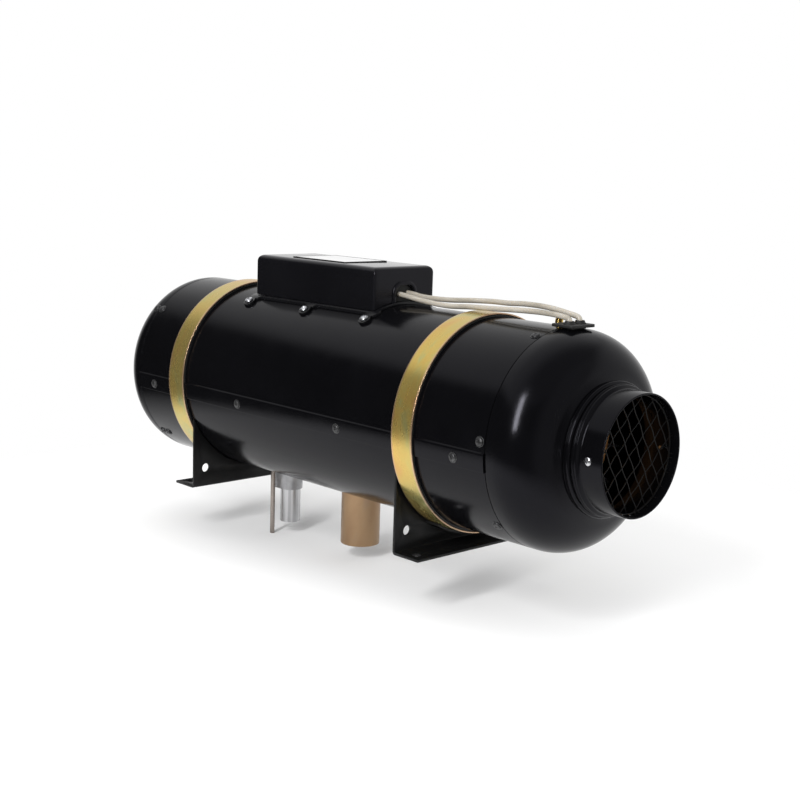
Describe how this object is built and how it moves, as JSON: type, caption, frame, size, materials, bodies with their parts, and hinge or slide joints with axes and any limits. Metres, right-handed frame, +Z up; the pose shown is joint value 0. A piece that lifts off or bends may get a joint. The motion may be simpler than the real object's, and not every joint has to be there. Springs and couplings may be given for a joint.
{
  "type": "diesel air heater",
  "caption": "Tubular black diesel air heater with a domed duct outlet, a control box on top, clamp straps and sheet brackets, and fuel, air and exhaust stubs below.",
  "frame": {"origin": "middle of the underside of the front bracket's foot, where the heater is bolted down", "axes": "+X along the casing towards the hot-air outlet, +Z up, -Y the side with the visible shell seam"},
  "size_m": [0.6647, 0.2158, 0.3069],
  "materials": {
    "black_paint": "semi-gloss powder coat",
    "black_sheet_metal": "satin black coat",
    "black_plastic": "fine moulded grain",
    "black_rubber": "matt",
    "yellow_zinc": "yellow chromate with a rainbow tint",
    "bright_steel": "bright zinc",
    "turned_aluminium": "turned",
    "cast_aluminium": "as cast",
    "copper_sheet": "heat-tinted copper",
    "browned_steel": "heat-browned stainless",
    "sensor_brass": "turned",
    "lead_silicone": "smooth translucent silicone",
    "circuit_board": "solder mask",
    "label_film": "satin silver film"
  },
  "bodies": {
    "heater": {"casing_upper_shell": "black_paint", "casing_lower_shell": "black_paint", "outlet_hood": "black_paint", "outlet_spout": "black_paint", "intake_hood": "black_paint", "outlet_grille": "black_sheet_metal", "bracket_front": "black_sheet_metal", "bracket_rear": "black_sheet_metal", "motor_magnets": "black_sheet_metal", "intake_grille": "black_plastic", "control_box_base": "black_plastic", "control_box_cover": "black_plastic", "strap_liner_front": "black_rubber", "strap_liner_rear": "black_rubber", "control_box_grommet": "black_rubber", "lead_grommet": "black_rubber", "strap_front": "yellow_zinc", "strap_rear": "yellow_zinc", "spout_screw_left": "bright_steel", "spout_screw_right": "bright_steel", "strap_bolt_front": "bright_steel", "strap_bolt_rear": "bright_steel", "lug_screw_near_1": "bright_steel", "lug_screw_far_1": "bright_steel", "lug_screw_near_2": "bright_steel", "lug_screw_far_2": "bright_steel", "lug_screw_near_3": "bright_steel", "lug_screw_far_3": "bright_steel", "glow_plug": "bright_steel", "flame_sensor": "bright_steel", "flame_tube": "bright_steel", "motor_can": "bright_steel", "rear_bearing": "bright_steel", "front_bearing": "bright_steel", "port_casting": "turned_aluminium", "air_inlet_stub": "turned_aluminium", "combustion_air_housing": "cast_aluminium", "burner_head": "cast_aluminium", "heat_exchanger": "cast_aluminium", "motor_cradle": "cast_aluminium", "motor_end_plate": "cast_aluminium", "exchanger_end_cap": "copper_sheet", "exhaust_stub": "browned_steel", "fuel_pipe": "browned_steel", "temperature_sensor": "sensor_brass", "sensor_lead_near": "lead_silicone", "sensor_lead_far": "lead_silicone", "control_board": "circuit_board", "rating_plate": "label_film"},
    "blower_rotor": {"rotor_shaft": "bright_steel", "armature": "bright_steel", "blower_fan": "black_plastic", "fan_nut": "bright_steel", "combustion_impeller": "turned_aluminium"}
  },
  "joints": [
    {"name": "blower_spin", "type": "hinge", "parent": "heater", "child": "blower_rotor", "pos_m": [-0.42785, 0, 0.117], "axis": [1, 0, 0], "continuous": true}
  ]
}
